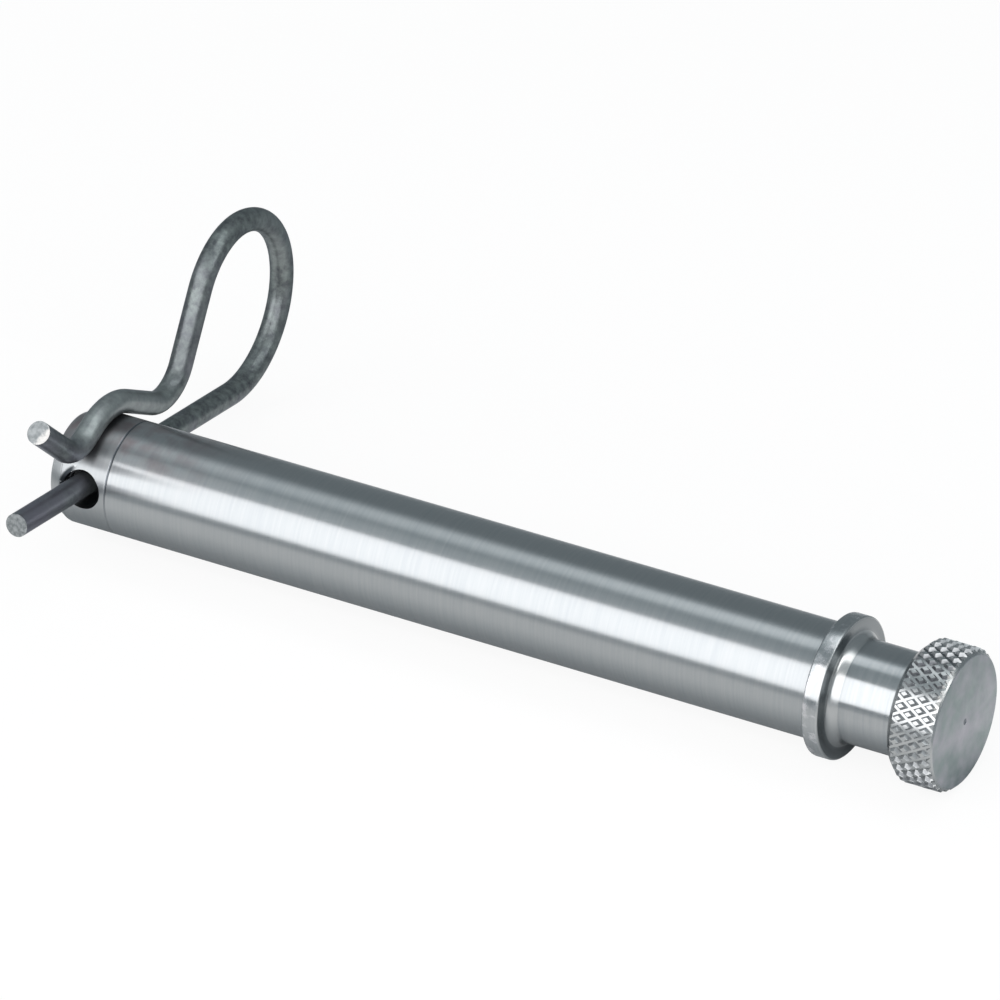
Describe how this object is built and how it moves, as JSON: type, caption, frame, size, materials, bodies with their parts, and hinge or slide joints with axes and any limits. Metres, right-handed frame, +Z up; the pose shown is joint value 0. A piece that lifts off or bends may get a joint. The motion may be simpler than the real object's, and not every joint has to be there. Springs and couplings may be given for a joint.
{
  "type": "hitch pin",
  "caption": "Turned steel hitch pin with a seating collar, a reduced neck and a round knurled grip, kept in place by a bent wire spring clip through its tip.",
  "frame": {"origin": "on the pin's axis, at the seating face of the collar", "axes": "+X along the pin from its tip to its grip, +Z up as the part lies on its side, +Y towards the clip's ring"},
  "size_m": [0.135, 0.0715, 0.0305],
  "materials": {
    "turned_steel": "fine turned finish, satin, with a knurled grip",
    "spring_wire": "dull grey drawn spring wire, cut ends brighter"
  },
  "bodies": {
    "pin": {"turned_pin": "turned_steel"},
    "clip": {"spring_clip": "spring_wire"}
  },
  "joints": [
    {"name": "clip_pull", "type": "slide", "parent": "pin", "child": "clip", "axis": [0, 0.9798, -0.2002], "range_m": [0, 0.036], "deforming": ["spring_clip"]}
  ]
}
